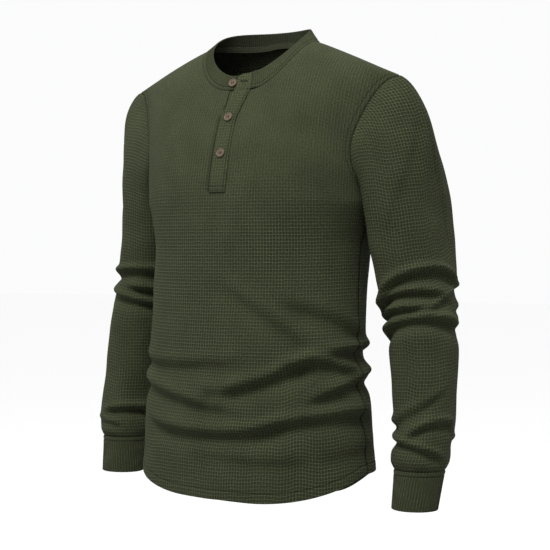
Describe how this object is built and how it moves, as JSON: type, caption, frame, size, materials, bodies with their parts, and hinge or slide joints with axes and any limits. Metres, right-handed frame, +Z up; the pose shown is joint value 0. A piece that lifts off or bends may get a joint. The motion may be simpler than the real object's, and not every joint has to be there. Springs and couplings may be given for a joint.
{
  "type": "henley shirt",
  "caption": "Long-sleeved henley shirt in olive waffle knit, worn shape kept, with a ribbed band collar, a buttoned placket, ribbed cuffs and a shirt-tail hem.",
  "frame": {"origin": "middle of the neck at the height of the high shoulder points, where the wearer carries the shirt", "axes": "+Z up, the front faces -Y, +X towards the wearer's left"},
  "size_m": [0.62, 0.2702, 0.7195],
  "materials": {
    "front": "matt waffle knit cotton",
    "back": "matt waffle knit cotton",
    "sleeve_left": "matt waffle knit cotton",
    "sleeve_right": "matt waffle knit cotton",
    "cuff_left": "ribbed knit cotton",
    "cuff_right": "ribbed knit cotton",
    "neckband": "ribbed knit cotton",
    "placket_upper": "matt waffle knit cotton",
    "placket_under": "matt waffle knit cotton",
    "button_top": "polished dark brown shell or wood",
    "button_middle": "polished dark brown shell or wood",
    "button_bottom": "polished dark brown shell or wood"
  },
  "bodies": {
    "root": {"front": "front", "back": "back", "sleeve_left": "sleeve_left", "sleeve_right": "sleeve_right", "cuff_left": "cuff_left", "cuff_right": "cuff_right", "neckband": "neckband", "placket_upper": "placket_upper", "placket_under": "placket_under", "button_top": "button_top", "button_middle": "button_middle", "button_bottom": "button_bottom"}
  },
  "joints": []
}
